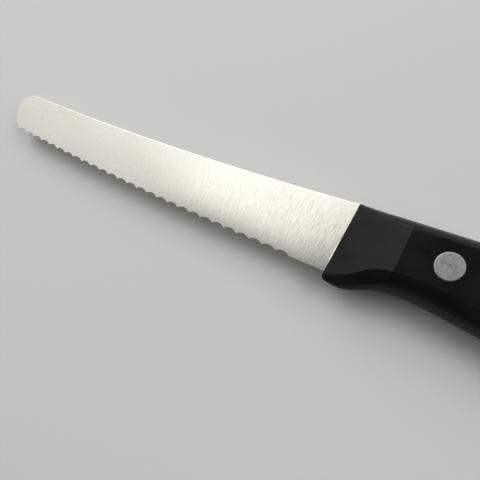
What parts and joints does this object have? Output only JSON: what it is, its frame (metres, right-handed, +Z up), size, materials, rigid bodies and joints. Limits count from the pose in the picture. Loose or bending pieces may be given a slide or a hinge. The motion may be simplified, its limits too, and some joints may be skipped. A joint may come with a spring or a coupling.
{
  "type": "serrated tomato knife",
  "caption": "Small serrated kitchen knife with a round-tipped steel blade, full tang and riveted black plastic handle, lying on its side.",
  "frame": {"origin": "on the flat face of the right handle scale that the knife lies on, midway between the front and middle rivets", "axes": "+X along the knife from the blade's tip to the butt, +Y across the side from the cutting edge to the spine, +Z up through the thickness, out of the left side"},
  "size_m": [0.255, 0.0263, 0.013],
  "materials": {
    "blade_steel": "satin, brushed from spine to edge",
    "handle_plastic": "satin moulded plastic",
    "rivet_metal": "ground flush"
  },
  "bodies": {
    "root": {"blade": "blade_steel", "left_scale": "handle_plastic", "right_scale": "handle_plastic", "front_rivet_stem": "rivet_metal", "front_rivet_socket": "rivet_metal", "middle_rivet_stem": "rivet_metal", "middle_rivet_socket": "rivet_metal", "rear_rivet_stem": "rivet_metal", "rear_rivet_socket": "rivet_metal"}
  },
  "joints": []
}
